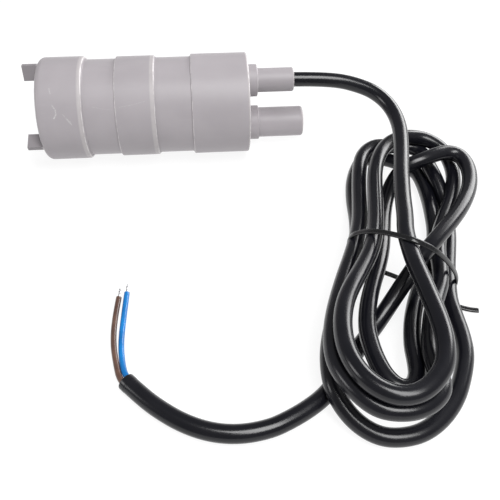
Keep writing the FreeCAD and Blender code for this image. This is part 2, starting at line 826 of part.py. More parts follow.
# Wire tie: once round the waist, pulled up against the outer strands, one end poking out
tie_radius = wire_diameter / 2
tie_gap = 0.35
tie_clear = cord_radius + tie_radius + tie_gap
tie_left = -max(waist_left) - tie_clear
tie_right = max(waist_right) + tie_clear
tie_top = lead_height + tie_clear
tie_floor = tie_radius + 0.05
tie_bend = 6.0
tie_tail = 4.0
tie_lean_right = 1.0
tie_lean_left = 17.5
tie_shoulder = 7.2


def tie_corner(u, v, z):
    p = hank_to_world(u, v, z)
    return (p.x, p.y, p.z)


tie_points = [
    tie_corner(tie_right + tie_tail, -tie_lean_right, tie_floor),
    tie_corner(tie_right - tie_bend, tie_lean_right, tie_floor),
    tie_corner(tie_left + tie_bend, tie_lean_left - 1, tie_floor),
    tie_corner(tie_left, tie_lean_left, tie_floor + tie_bend),
    tie_corner(tie_left, tie_lean_left * 0.8, lead_height - layer_pitch / 2),
    tie_corner(-waist_left[0] - tie_shoulder * 0.4, tie_lean_left * 0.5, tie_top),
    tie_corner(waist_right[0] + tie_shoulder, tie_lean_left * 0.2, tie_top),
    tie_corner(tie_right, tie_lean_left * 0.6, 2 * layer_pitch),
    tie_corner(tie_right, tie_lean_left * 0.65, tie_floor + tie_bend),
]
tie = swept(route_path(tie_points, "hank_tie"), tie_radius, "hank_tie")
save("hank_tie", tie)
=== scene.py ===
import math
import random
import bpy
from mathutils import Matrix, Vector


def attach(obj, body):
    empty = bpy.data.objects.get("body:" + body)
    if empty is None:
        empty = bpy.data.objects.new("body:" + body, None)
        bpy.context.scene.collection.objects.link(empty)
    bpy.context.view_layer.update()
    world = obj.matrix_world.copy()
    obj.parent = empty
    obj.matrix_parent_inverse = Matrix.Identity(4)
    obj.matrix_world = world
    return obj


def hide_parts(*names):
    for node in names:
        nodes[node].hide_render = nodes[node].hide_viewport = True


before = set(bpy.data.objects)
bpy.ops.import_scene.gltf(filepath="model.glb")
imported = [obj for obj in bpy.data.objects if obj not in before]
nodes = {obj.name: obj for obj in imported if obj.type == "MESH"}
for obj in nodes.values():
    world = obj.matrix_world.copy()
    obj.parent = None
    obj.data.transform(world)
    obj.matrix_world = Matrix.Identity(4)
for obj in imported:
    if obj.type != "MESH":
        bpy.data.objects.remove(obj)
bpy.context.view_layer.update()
scene = bpy.context.scene
print("frame loaded")

# The pump lies along X with its axis 21.85 mm up; everything is in metres
axisHeight = 0.02185


# Camera where the photograph was taken from

view = {"place": (0.01473, -0.25103, 0.19733), "down": 47.277, "turn": 5.087, "roll": 1.003,
        "lens": 48.36, "sensor": 36, "nearest": 0.01}


def makeCamera():
    down, turn, roll = (math.radians(view[k]) for k in ("down", "turn", "roll"))
    forward = Vector((math.sin(turn) * math.cos(down), math.cos(turn) * math.cos(down),
                      -math.sin(down)))
    level = Vector((math.cos(turn), -math.sin(turn), 0))
    upright = level.cross(forward)
    right = level * math.cos(roll) + upright * math.sin(roll)
    up = upright * math.cos(roll) - level * math.sin(roll)
    data = bpy.data.cameras.new("camera")
    data.lens = view["lens"]
    data.sensor_width = view["sensor"]
    data.clip_start = view["nearest"]
    camera = bpy.data.objects.new("camera", data)
    scene.collection.objects.link(camera)
    place = Matrix((right, up, -forward)).transposed().to_4x4()
    place.translation = Vector(view["place"])
    camera.matrix_world = place
    scene.camera = camera


makeCamera()


# A number in a material, so that shader sums read as plain arithmetic

class Amount:
    def __init__(self, finish, socket):
        self.finish = finish
        self.socket = socket

    def sum(self, operation, *values):
        return self.finish.add("ShaderNodeMath", {"operation": operation},
                               dict(enumerate(values)))

    def __add__(self, other):
        return self.sum("ADD", self, other)

    def __sub__(self, other):
        return self.sum("SUBTRACT", self, other)

    def __rsub__(self, other):
        return self.sum("SUBTRACT", other, self)

    def __mul__(self, other):
        return self.sum("MULTIPLY", self, other)

    def __truediv__(self, other):
        return self.sum("DIVIDE", self, other)

    def __rtruediv__(self, other):
        return self.sum("DIVIDE", other, self)

    def __abs__(self):
        return self.sum("ABSOLUTE", self)

    __radd__ = __add__
    __rmul__ = __mul__

    def most(self, other):
        return self.sum("MAXIMUM", self, other)

    def least(self, other):
        return self.sum("MINIMUM", self, other)

    def wave(self, pitch):
        return self.sum("SINE", self * (math.tau / pitch)) * 0.5 + 0.5

    def ramp(self, low, high, start=0.0, end=1.0):
        return self.finish.add(
            "ShaderNodeMapRange", {"interpolation_type": "SMOOTHSTEP"},
            {"Value": self, "From Min": low, "From Max": high, "To Min": start, "To Max": end})


# One material under work: its nodes, the place on the piece and the shader

class Finish:
    def __init__(self, name):
        self.material = bpy.data.materials.new(name)
        self.material.use_nodes = True
        self.tree = self.material.node_tree
        self.shader = next(n for n in self.tree.nodes if n.type == "BSDF_PRINCIPLED")
        self.place = self.add("ShaderNodeTexCoord", {}, {}, "Object")
        self.x, self.y, self.z = (self.add("ShaderNodeSeparateXYZ", {}, {0: self.place}, axis)
                                  for axis in "XYZ")

    def join(self, slot, value):
        if isinstance(value, Amount):
            self.tree.links.new(value.socket, slot)
        elif slot.type == "RGBA" and len(value) == 3:
            slot.default_value = (*value, 1.0)
        else:
            slot.default_value = value

    def add(self, kind, settings, values, output=0):
        node = self.tree.nodes.new(kind)
        for name, value in settings.items():
            setattr(node, name, value)
        for name, value in values.items():
            self.join(node.inputs[name], value)
        return Amount(self, node.outputs[output])

    def arrow(self, operation, *values, output=0, **more):
        return self.add("ShaderNodeVectorMath", {"operation": operation},
                        {**dict(enumerate(values)), **more}, output)

    def cloud(self, size, detail=3.0, rough=0.55, stretch=(1, 1, 1)):
        place = self.arrow("MULTIPLY", self.place, stretch)
        return self.add("ShaderNodeTexNoise", {},
                        {"Vector": place, "Scale": 1 / size, "Detail": detail, "Roughness": rough},
                        "Fac")

    def pits(self, size):
        return self.add("ShaderNodeTexVoronoi", {}, {"Vector": self.place, "Scale": 1 / size},
                        "Distance")

    def nearLine(self, start, end, width):
        run = Vector(end) - Vector(start)
        away = self.arrow("SUBTRACT", self.place, start)
        along = self.arrow("DOT_PRODUCT", away, run, output="Value")
        share = (along / run.length_squared).most(0.0).least(1.0)
        foot = self.arrow("SCALE", tuple(run), Scale=share)
        return self.arrow("DISTANCE", away, foot, output="Value").ramp(width, width * 0.2)

    def blend(self, share, first, second):
        return self.add("ShaderNodeMix", {"data_type": "RGBA"}, {0: share, 6: first, 7: second}, 2)

    def surface(self, height=None, distance=0.0, strength=1.0, **values):
        for name, value in values.items():
            self.join(self.shader.inputs[name.replace("_", " ")], value)
        if height is not None:
            bump = self.add("ShaderNodeBump", {}, {"Height": height, "Distance": distance,
                                                   "Strength": strength}, "Normal")
            self.join(self.shader.inputs["Normal"], bump)
        return self.material


def tint(colour, share):
    return tuple(min(1.0, c * share) for c in colour)


# Wear and painted highlights of the light grey shell. A rim or an edge is a place along X and a
# width, where a lighter band or line is painted in as a highlight; a mark is a line from one point
# to another, its width and how strongly it shows, a real lighter scuff or scratch.

greyTone = (0.345, 0.321, 0.338)
scuffTone = (0.62, 0.61, 0.61)
rimHighlightTone = (0.43, 0.405, 0.412)
edgeHighlightTone = (0.74, 0.72, 0.72)


# Painted highlights: thin lighter lines along the moulded edges, where light catches the chamfers
def paintEdgeHighlights(f, edges):
    patch = f.cloud(0.0035, 3, 0.6).ramp(0.38, 0.6, 0.25, 1.0)
    lines = f.x * 0.0
    for place, width in edges:
        lines = lines.most(abs(f.x - place).ramp(width, width * 0.3))
    return lines * patch


def addWearAndHighlights(f, colour, patch, worn, grit, rims, edges, marks):
    for place, width in rims:
        # each rim gets a lighter band painted in, the highlight of light on its rounded lip,
        # broken up in patches
        band = abs(f.x - place).ramp(width, width * 0.55)
        colour = f.blend(band * patch.ramp(0.25, 0.6, 0.7, 1.0), colour, rimHighlightTone)
    # painted highlight lines along the edges
    edgeHighlight = paintEdgeHighlights(f, edges)
    colour = f.blend(edgeHighlight * 0.8, colour, edgeHighlightTone)
    # real scuffs and scratches
    for start, end, width, share in marks:
        worn = worn.most(f.nearLine(start, end, width) * grit * share)
    return f.blend(worn, colour, scuffTone), worn, edgeHighlight


# Moulded grey of the caps, the spigot and the sleeve; the bottom cap's feet get painted shade

def mouldedGrey(name, tone=greyTone, rims=(), edges=(), marks=(), shadedFeetFrom=None):
    f = Finish(name)
    cloud = f.cloud(0.021, 3, 0.5)
    flow = f.cloud(0.006, 3, 0.6, (0.3, 1, 1))
    skin = f.cloud(0.0022, 2, 0.5)
    scratch = f.cloud(0.0016, 4, 0.7, (0.12, 1.0, 1.3)).ramp(0.70, 0.78)
    grit = f.cloud(0.00035, 3, 0.8).ramp(0.40, 0.58)
    colour = f.blend(cloud.ramp(0.3, 0.7), tint(tone, 0.97), tint(tone, 1.04))
    colour = f.blend(flow.ramp(0.55, 0.72) * 0.3, colour, tint(tone, 1.07))
    # painted shade: the feet past the end face are made darker, the shade they lie in
    if shadedFeetFrom is not None:
        colour = f.blend(f.x.ramp(shadedFeetFrom + 0.0002, shadedFeetFrom - 0.0008), colour, tint(tone, 0.70))
    # painted rim and edge highlights, real scuffs and scratches
    colour, worn, edgeHighlight = addWearAndHighlights(f, colour, flow, scratch * 0.12, grit, rims, edges, marks)
    rough = cloud.ramp(0.3, 0.7, 0.38, 0.46) + worn * 0.2 - edgeHighlight * 0.2
    return f.surface(skin * 0.5 + flow * 0.3 - worn * 0.6, 0.00003, 0.5,
                     Base_Color=colour, Roughness=rough, Specular_IOR_Level=0.3)


# Extruded grey pipe of the housing tube and the centre band, drawn along X

def drawnGrey(name, tone, rims=(), edges=(), marks=()):
    f = Finish(name)
    cloud = f.cloud(0.018, 3, 0.5)
    draw = f.cloud(0.0011, 3, 0.6, (0.06, 1, 1))
    skin = f.cloud(0.0030, 2, 0.5)
    scratch = draw.ramp(0.74, 0.8)
    grit = f.cloud(0.0005, 3, 0.8).ramp(0.38, 0.6)
    colour = f.blend(cloud.ramp(0.3, 0.7), tint(tone, 0.965), tint(tone, 1.035))
    colour = f.blend(draw.ramp(0.56, 0.72) * 0.35, colour, tint(tone, 1.06))
    # painted rim and edge highlights, real scratches
    colour, worn, edgeHighlight = addWearAndHighlights(f, colour, skin, scratch * 0.1, grit, rims, edges, marks)
    rough = cloud.ramp(0.3, 0.7, 0.36, 0.44) + worn * 0.2 - edgeHighlight * 0.2
    return f.surface(draw * 0.35 + skin * 0.5 - worn * 0.5, 0.00003, 0.5,
                     Base_Color=colour, Roughness=rough, Specular_IOR_Level=0.3)


# Plain engineering plastics inside: fine grain, faint sheen variation

def plainPlastic(name, tone, rough):
    f = Finish(name)
    cloud = f.cloud(0.012, 3, 0.6)
    grain = f.cloud(0.0005, 3, 0.6)
    swirl = f.cloud(0.003, 3, 0.6, (0.3, 1, 1)).ramp(0.58, 0.72)
    colour = f.blend(cloud.ramp(0.3, 0.7), tint(tone, 0.86), tint(tone, 1.12))
    colour = f.blend(swirl * 0.3, colour, tint(tone, 1.25))
    return f.surface(grain, 0.00004, 0.5, Base_Color=colour,
                     Roughness=grain.ramp(0.3, 0.7, rough - 0.06, rough + 0.06))


# Black PVC of the cord: near black, glossy, with soft unevenness and a little dust

def blackSheath():
    f = Finish("blackSheath")
    cloud = f.cloud(0.024, 3, 0.6)
    skin = f.cloud(0.0035, 3, 0.55)
    pore = f.pits(0.0009).ramp(0.0, 0.3)
    dust = f.cloud(0.0006, 4, 0.75).ramp(0.68, 0.78)
    colour = f.blend(cloud.ramp(0.3, 0.7), (0.0036, 0.0038, 0.0062), (0.0066, 0.0066, 0.0096))
    colour = f.blend(dust * 0.25, colour, (0.06, 0.06, 0.065))
    return f.surface(skin * 0.8 + pore * 0.12, 0.00006, 0.45, Base_Color=colour,
                     Roughness=cloud.ramp(0.3, 0.7, 0.20, 0.27) + dust * 0.12,
                     Specular_IOR_Level=0.44)


# Coloured PVC of the thin cores, faintly streaked along Y, the way that they lie

def coreSkin(name, low, high):
    f = Finish(name)
    cloud = f.cloud(0.007, 3, 0.6)
    draw = f.cloud(0.0006, 3, 0.6, (1, 0.15, 1))
    return f.surface(draw, 0.00003, 0.5, Base_Color=f.blend(cloud.ramp(0.3, 0.7), low, high),
                     Roughness=draw.ramp(0.3, 0.7, 0.24, 0.34))


# Dull rubber of the seals, with a pale bloom in patches

def softRubber(name, tone):
    f = Finish(name)
    cloud = f.cloud(0.005, 3, 0.6)
    grain = f.cloud(0.00035, 3, 0.7)
    bloom = f.cloud(0.0018, 4, 0.7).ramp(0.6, 0.75)
    colour = f.blend(cloud.ramp(0.3, 0.7), tint(tone, 0.7), tint(tone, 1.3))
    colour = f.blend(bloom * 0.4, colour, tint(tone, 3.0))
    return f.surface(grain, 0.00005, 0.6, Base_Color=colour,
                     Roughness=grain.ramp(0.3, 0.7, 0.52, 0.72))


# Metals: turned ones have lines round X, drawn sheet has lines along X

def bareMetal(name, tone, rough, turned=False):
    f = Finish(name)
    cloud = f.cloud(0.007, 3, 0.6)
    lines = f.cloud(0.002, 4, 0.7, (6.0, 0.5, 0.5) if turned else (0.4, 4.0, 4.0))
    colour = f.blend(cloud.ramp(0.3, 0.7), tint(tone, 0.84), tone)
    colour = f.blend(lines.ramp(0.55, 0.7) * 0.35, colour, tint(tone, 0.7))
    return f.surface(lines, 0.00003, 0.5, Base_Color=colour, Metallic=1.0,
                     Roughness=lines.ramp(0.3, 0.7, rough - 0.06, rough + 0.09))


# Steel sheets stacked along X, half a millimetre each, with brown patches

def sheetStack(name):
    f = Finish(name)
    sheets = f.x.wave(0.0005)
    cloud = f.cloud(0.004, 3, 0.6)
    colour = f.blend(sheets, (0.13, 0.13, 0.14), (0.42, 0.42, 0.44))
    colour = f.blend(cloud.ramp(0.55, 0.7) * 0.4, colour, (0.24, 0.17, 0.13))
    return f.surface(sheets, 0.00006, 0.7, Base_Color=colour, Metallic=0.9,
                     Roughness=sheets.ramp(0.0, 1.0, 0.55, 0.35))


# Enamelled wire laid across a pole that stands out at an angle

def windingWire(name, angle):
    f = Finish(name)
    rise = f.y * math.cos(angle) + (f.z - axisHeight) * math.sin(angle)
    wires = rise.wave(0.0003)
    wander = f.cloud(0.0012, 3, 0.6)
    colour = f.blend(wires, (0.20, 0.045, 0.018), (0.66, 0.22, 0.09))
    colour = f.blend(wander.ramp(0.5, 0.7) * 0.4, colour, (0.48, 0.14, 0.05))
    return f.surface(wires * 0.8 + wander * 0.2, 0.00010, 0.8, Base_Color=colour, Metallic=0.85,
                     Roughness=wires.ramp(0.0, 1.0, 0.5, 0.26))


# Pressed powder of the magnets and brushes: coarse grain and small chips

def sintered(name, tone):
    f = Finish(name)
    grain = f.cloud(0.0007, 4, 0.75)
    chip = f.pits(0.0016).ramp(0.05, 0.22)
    colour = f.blend(grain.ramp(0.3, 0.7), tint(tone, 0.7), tint(tone, 1.35))
    return f.surface(grain * 0.7 + chip * 0.3, 0.00009, 0.6, Base_Color=colour,
                     Roughness=grain.ramp(0.3, 0.7, 0.55, 0.78))


# Every rigid node keeps its shape and gets one of these finishes

def coat(material, *names):
    for name in names:
        mesh = nodes[name].data
        mesh.materials.clear()
        mesh.materials.append(material)


capScuffs = [
    ((-0.04733, -0.01197, 0.04013), (-0.04689, -0.01365, 0.03891), 0.00040, 0.35),
    ((-0.04644, -0.01704, 0.03553), (-0.04522, -0.01826, 0.03385), 0.00032, 0.65),
    ((-0.04522, -0.01826, 0.03385), (-0.04516, -0.01911, 0.03244), 0.00036, 0.65),
    ((-0.04516, -0.01911, 0.03244), (-0.04617, -0.01985, 0.03099), 0.00040, 0.75),
    ((-0.04243, -0.01916, 0.03236), (-0.04095, -0.02007, 0.03048), 0.00026, 0.4),
    ((-0.04095, -0.02007, 0.03048), (-0.03952, -0.02077, 0.02862), 0.00040, 0.65),
    ((-0.03990, -0.02040, 0.02960), (-0.03940, -0.02085, 0.02830), 0.00030, 0.65),
]
bandScratches = [
    ((-0.01943, -0.01765, 0.03386), (-0.01400, -0.01720, 0.03450), 0.00018, 0.3),
    ((-0.01400, -0.01720, 0.03450), (-0.00890, -0.01639, 0.03553), 0.00016, 0.25),
]
tubeScratches = [
    ((-0.03074, -0.01663, 0.03376), (-0.02659, -0.01716, 0.03297), 0.00016, 0.2),
    ((-0.02659, -0.01716, 0.03297), (-0.02256, -0.01745, 0.03251), 0.00014, 0.2),
]
# The rims and edges given here are painted highlights; the marks are real scuffs and scratches.
coat(mouldedGrey("bottomCapGrey", rims=[(-0.03550, 0.0013)],
                 edges=[(-0.03500, 0.00022), (-0.05370, 0.00030)], marks=capScuffs,
                 shadedFeetFrom=-0.05395), "bottom_cap")
coat(mouldedGrey("topCapGrey", tint(greyTone, 1.03), rims=[(0.03440, 0.0006)],
                 edges=[(0.01050, 0.00020), (0.03452, 0.00025)]), "top_cap")
coat(mouldedGrey("spigotGrey", tint(greyTone, 1.06), rims=[(0.06000, 0.0007)],
                 edges=[(0.03980, 0.00022), (0.06005, 0.00022)]), "outlet_spigot")
coat(mouldedGrey("sleeveGrey", rims=[(0.05420, 0.0005)], edges=[(0.03870, 0.00020)]),
     "cable_sleeve")
coat(drawnGrey("tubeGrey", tint(greyTone, 1.02), marks=tubeScratches), "housing_tube")
coat(drawnGrey("bandGrey", greyTone, rims=[(-0.00590, 0.0011)],
               edges=[(-0.00505, 0.00022), (-0.02125, 0.00022)], marks=bandScratches),
     "centre_band")
coat(plainPlastic("capsuleBlack", (0.030, 0.031, 0.034), 0.42), "motor_capsule", "capsule_lid",
     "seal_plate")
coat(plainPlastic("impellerIvory", (0.60, 0.57, 0.50), 0.40), "impeller")
coat(plainPlastic("bellAmber", (0.42, 0.36, 0.25), 0.42), "end_bell")
coat(softRubber("sealRubber", (0.015, 0.015, 0.016)), "plate_o_ring", "shaft_seal",
     "cable_grommet", "motor_ring")
coat(bareMetal("canSteel", (0.60, 0.61, 0.63), 0.28), "motor_can")
coat(bareMetal("screwSteel", (0.58, 0.58, 0.60), 0.25, turned=True), "motor_screws")
coat(bareMetal("shaftSteel", (0.68, 0.68, 0.70), 0.17, turned=True), "shaft")
coat(bareMetal("bushBronze", (0.58, 0.38, 0.19), 0.38, turned=True), "front_bush", "rear_bush")
coat(bareMetal("armBrass", (0.75, 0.52, 0.28), 0.26), "brush_arm_left", "brush_arm_right")
coat(bareMetal("barCopper", (0.78, 0.40, 0.23), 0.22, turned=True), "commutator")
coat(bareMetal("terminalTin", (0.76, 0.76, 0.78), 0.25), "terminal_left", "terminal_right")
coat(sheetStack("coreSheets"), "armature_core")
for count, degrees in enumerate((90, 210, 330), 1):  # one coil on each pole of the armature
    coat(windingWire("winding%d" % count, math.radians(degrees)), "coil_%d" % count)
coat(sintered("magnetFerrite", (0.040, 0.040, 0.045)), "magnet_upper", "magnet_lower")
coat(sintered("brushCarbon", (0.020, 0.020, 0.021)), "brush_left", "brush_right")
blackPvc = blackSheath()
bluePvc = coreSkin("bluePvc", (0.004, 0.130, 0.40), (0.006, 0.185, 0.52))
brownPvc = coreSkin("brownPvc", (0.085, 0.045, 0.034), (0.135, 0.075, 0.055))
tinnedCopper = bareMetal("tinnedCopper", (0.80, 0.80, 0.82), 0.22)
tiePlastic = plainPlastic("tiePlastic", (0.0065, 0.0065, 0.0075), 0.22)
coat(blackPvc, "cord_captive")
coat(bluePvc, "inner_lead_blue")
coat(brownPvc, "inner_lead_brown")
print("finishes made")


# A curve that is round across, the smooth lines on it, and the piece made of them

def startCurve(name, radius, steps, roundness):
    curve = bpy.data.curves.new(name, "CURVE")
    curve.dimensions = "3D"
    curve.bevel_depth = radius
    curve.bevel_resolution = roundness
    curve.resolution_u = steps
    curve.use_fill_caps = True
    return curve


def addLine(curve, route, tilt=0.0):
    line = curve.splines.new("NURBS")
    line.points.add(len(route) - 1)
    for point, place in zip(line.points, route):
        point.co = (*place, 1.0)
        point.tilt = tilt
    line.order_u = 3
    line.use_endpoint_u = True


def finishCurve(name, curve, material):
    piece = bpy.data.objects.new(name, curve)
    scene.collection.objects.link(piece)
    curve.materials.append(material)
    return piece


# One length of cord. A flat one has its two round edges moved apart, each by the last size.

def drawCord(name, route, radius, material, steps, roundness, apart=0.0):
    curve = startCurve(name, radius, steps, roundness)
    curve.extrude = apart
    addLine(curve, route, math.pi / 2 if apart else 0.0)
    return finishCurve(name, curve, material)


# The cord: from the sleeve over the hank, through its four tied turns, then out to its
# cut end. Each turn has a bottom lobe and a top lobe, as they lie in the photograph.

cordPlan = {
    "diameter": 0.0062,
    "length": 1.49,
    "exit": (0.05435, -0.00142, 0.03397),
    "lead": [
        (0.0444, -0.0014, 0.0340), (0.0550, -0.0016, 0.0340), (0.0682, -0.0026, 0.0340),
        (0.0767, -0.0041, 0.0336), (0.0853, -0.0083, 0.0328), (0.0900, -0.0123, 0.0318),
        (0.0933, -0.0173, 0.0306), (0.0952, -0.0231, 0.0293), (0.0957, -0.0303, 0.0282),
        (0.0946, -0.0385, 0.0274), (0.0927, -0.0475, 0.0270), (0.0907, -0.0562, 0.0268),
        (0.0890, -0.0648, 0.0267), (0.0875, -0.0730, 0.0267), (0.0863, -0.0811, 0.0269),
        (0.0845, -0.0888, 0.0270),
    ],
    "turns": [
        [
            (0.0842, -0.0965, 0.0270), (0.0843, -0.1035, 0.0270), (0.0850, -0.1112, 0.0270),
            (0.0856, -0.1191, 0.0270), (0.0863, -0.1275, 0.0270), (0.0860, -0.1362, 0.0268),
            (0.0839, -0.1442, 0.0266), (0.0794, -0.1497, 0.0264), (0.0744, -0.1531, 0.0262),
            (0.0692, -0.1539, 0.0260), (0.0645, -0.1525, 0.0260), (0.0600, -0.1488, 0.0260),
            (0.0567, -0.1431, 0.0260), (0.0550, -0.1361, 0.0260), (0.0553, -0.1277, 0.0258),
            (0.0576, -0.1185, 0.0252), (0.0616, -0.1105, 0.0244), (0.0667, -0.1023, 0.0230),
            (0.0713, -0.0942, 0.0218), (0.0748, -0.0860, 0.0206), (0.0774, -0.0772, 0.0194),
            (0.0796, -0.0670, 0.0184), (0.0816, -0.0565, 0.0176), (0.0838, -0.0456, 0.0170),
            (0.0869, -0.0364, 0.0166), (0.0913, -0.0285, 0.0162), (0.0964, -0.0237, 0.0162),
            (0.1023, -0.0214, 0.0160), (0.1087, -0.0202, 0.0146), (0.1144, -0.0221, 0.0134),
            (0.1194, -0.0246, 0.0106), (0.1207, -0.0317, 0.0099), (0.1200, -0.0404, 0.0098),
            (0.1171, -0.0498, 0.0100), (0.1125, -0.0597, 0.0106), (0.1071, -0.0693, 0.0113),
            (0.1027, -0.0784, 0.0120),
        ],
        [
            (0.1002, -0.0861, 0.0120), (0.0992, -0.0937, 0.0116), (0.0975, -0.1009, 0.0116),
            (0.0940, -0.1077, 0.0120), (0.0905, -0.1146, 0.0130), (0.0874, -0.1233, 0.0142),
            (0.0847, -0.1318, 0.0156), (0.0841, -0.1395, 0.0170), (0.0846, -0.1472, 0.0182),
            (0.0797, -0.1526, 0.0189), (0.0730, -0.1552, 0.0193), (0.0662, -0.1550, 0.0196),
            (0.0615, -0.1531, 0.0198), (0.0576, -0.1489, 0.0199), (0.0543, -0.1432, 0.0199),
            (0.0522, -0.1365, 0.0197), (0.0526, -0.1282, 0.0192), (0.0548, -0.1188, 0.0183),
            (0.0583, -0.1087, 0.0171), (0.0625, -0.0983, 0.0158), (0.0668, -0.0884, 0.0146),
            (0.0706, -0.0788, 0.0134), (0.0738, -0.0688, 0.0124), (0.0758, -0.0586, 0.0117),
            (0.0776, -0.0479, 0.0112), (0.0798, -0.0369, 0.0108), (0.0823, -0.0280, 0.0105),
            (0.0864, -0.0222, 0.0103), (0.0912, -0.0194, 0.0101), (0.0962, -0.0200, 0.0098),
            (0.1018, -0.0200, 0.0095), (0.1070, -0.0206, 0.0092), (0.1108, -0.0241, 0.0088),
            (0.1110, -0.0317, 0.0092), (0.1120, -0.0390, 0.0088), (0.1133, -0.0452, 0.0068),
            (0.1143, -0.0522, 0.0041), (0.1128, -0.0606, 0.0034), (0.1111, -0.0699, 0.0034),
        ],
        [
            (0.1084, -0.0788, 0.0034), (0.1058, -0.0870, 0.0034), (0.1037, -0.0955, 0.0036),
            (0.1018, -0.1036, 0.0040), (0.1020, -0.1105, 0.0036), (0.1023, -0.1176, 0.0033),
            (0.1014, -0.1261, 0.0032), (0.0980, -0.1343, 0.0032), (0.0934, -0.1426, 0.0032),
            (0.0870, -0.1496, 0.0032), (0.0796, -0.1542, 0.0032), (0.0723, -0.1556, 0.0032),
            (0.0654, -0.1548, 0.0034), (0.0594, -0.1511, 0.0044), (0.0549, -0.1460, 0.0066),
            (0.0521, -0.1400, 0.0092), (0.0520, -0.1314, 0.0097), (0.0536, -0.1227, 0.0096),
            (0.0568, -0.1132, 0.0089), (0.0607, -0.1028, 0.0078), (0.0649, -0.0916, 0.0066),
            (0.0697, -0.0804, 0.0056), (0.0737, -0.0698, 0.0049), (0.0753, -0.0594, 0.0046),
            (0.0759, -0.0488, 0.0042), (0.0776, -0.0378, 0.0038), (0.0808, -0.0283, 0.0034),
            (0.0847, -0.0214, 0.0032), (0.0896, -0.0190, 0.0032), (0.0945, -0.0202, 0.0032),
            (0.0992, -0.0226, 0.0032), (0.1036, -0.0257, 0.0032), (0.1077, -0.0303, 0.0034),
            (0.1086, -0.0386, 0.0034), (0.1079, -0.0489, 0.0045), (0.1063, -0.0601, 0.0060),
            (0.1050, -0.0693, 0.0058),
        ],
        [
            (0.1024, -0.0779, 0.0058), (0.0983, -0.0866, 0.0058), (0.0933, -0.0951, 0.0056),
            (0.0882, -0.1050, 0.0066), (0.0842, -0.1152, 0.0080), (0.0815, -0.1254, 0.0096),
            (0.0807, -0.1338, 0.0110), (0.0795, -0.1395, 0.0117), (0.0765, -0.1434, 0.0122),
            (0.0724, -0.1434, 0.0125), (0.0693, -0.1396, 0.0126), (0.0676, -0.1343, 0.0126),
            (0.0667, -0.1275, 0.0123), (0.0668, -0.1191, 0.0119), (0.0691, -0.1093, 0.0114),
            (0.0729, -0.0995, 0.0108), (0.0772, -0.0899, 0.0100), (0.0809, -0.0799, 0.0088),
            (0.0836, -0.0697, 0.0076), (0.0861, -0.0596, 0.0070), (0.0888, -0.0514, 0.0076),
            (0.0916, -0.0458, 0.0096), (0.0946, -0.0419, 0.0116), (0.0977, -0.0402, 0.0142),
            (0.1013, -0.0396, 0.0163), (0.1057, -0.0388, 0.0174), (0.1110, -0.0366, 0.0178),
            (0.1167, -0.0343, 0.0172), (0.1215, -0.0354, 0.0168), (0.1238, -0.0406, 0.0163),
            (0.1231, -0.0487, 0.0162), (0.1196, -0.0582, 0.0164), (0.1135, -0.0680, 0.0173),
            (0.1068, -0.0764, 0.0181), (0.1002, -0.0837, 0.0187),
        ],
    ],
    "tail": [
        (0.0942, -0.0901, 0.0186), (0.0890, -0.0957, 0.0170), (0.0844, -0.1003, 0.0134),
        (0.0800, -0.1046, 0.0094), (0.0756, -0.1092, 0.0060), (0.0707, -0.1146, 0.0040),
        (0.0653, -0.1203, 0.0032), (0.0595, -0.1280, 0.0032), (0.0543, -0.1346, 0.0032),
        (0.0495, -0.1397, 0.0032), (0.0435, -0.1438, 0.0032), (0.0374, -0.1470, 0.0032),
        (0.0311, -0.1496, 0.0032), (0.0215, -0.1509, 0.0032), (0.0122, -0.1495, 0.0032),
        (0.0031, -0.1454, 0.0032), (-0.0056, -0.1389, 0.0032), (-0.0116, -0.1329, 0.0032),
        (-0.0145, -0.1297, 0.0032),
    ],
}


def makePumpCord():
    route = list(cordPlan["lead"])
    for turn in cordPlan["turns"]:
        route += turn
    route += cordPlan["tail"]
    return drawCord("pumpCord", route, cordPlan["diameter"] / 2, blackPvc,
                    steps=7, roundness=8)


pumpCord = makePumpCord()

# Flat wire tie once round the waist of the hank, its end poking out on the floor
tiePlan = {
    "thickness": 0.00105,
    "width": 0.0021,
    "route": [
        (0.1127, -0.1061, 0.0009), (0.1066, -0.1053, 0.0009), (0.0971, -0.0963, 0.0009),
        (0.0859, -0.0879, 0.0009), (0.0814, -0.0853, 0.0009), (0.0741, -0.0801, 0.0009),
        (0.0709, -0.0772, 0.0020), (0.0690, -0.0769, 0.0070), (0.0674, -0.0789, 0.0130),
        (0.0678, -0.0803, 0.0172), (0.0702, -0.0821, 0.0205), (0.0728, -0.0851, 0.0240),
        (0.0760, -0.0881, 0.0265), (0.0800, -0.0923, 0.0290), (0.0843, -0.0971, 0.0314),
        (0.0898, -0.0981, 0.0290), (0.0947, -0.0982, 0.0250), (0.1000, -0.0976, 0.0186),
        (0.1047, -0.0960, 0.0110), (0.1073, -0.0951, 0.0040), (0.1062, -0.0955, 0.0010),
    ],
}
wireTie = drawCord("wireTie", tiePlan["route"], tiePlan["thickness"] / 2, tiePlastic,
                   steps=8, roundness=3,
                   apart=(tiePlan["width"] - tiePlan["thickness"]) / 2)
print("cord and tie laid")


def clearSelection():
    if bpy.context.mode != "OBJECT":
        bpy.ops.object.mode_set(mode="OBJECT")
    bpy.ops.object.select_all(action="DESELECT")


def pickFaces(piece, test):
    for part in (piece.data.vertices, piece.data.edges):
        part.foreach_set("select", [False] * len(part))
    for face in piece.data.polygons:
        face.select = bool(test(face))


def pickEdges(piece, test):
    piece.data.vertices.foreach_set("select", [False] * len(piece.data.vertices))
    piece.data.polygons.foreach_set("select", [False] * len(piece.data.polygons))
    places = [v.co for v in piece.data.vertices]
    for edge in piece.data.edges:
        edge.select = bool(test(*(places[i] for i in edge.vertices)))


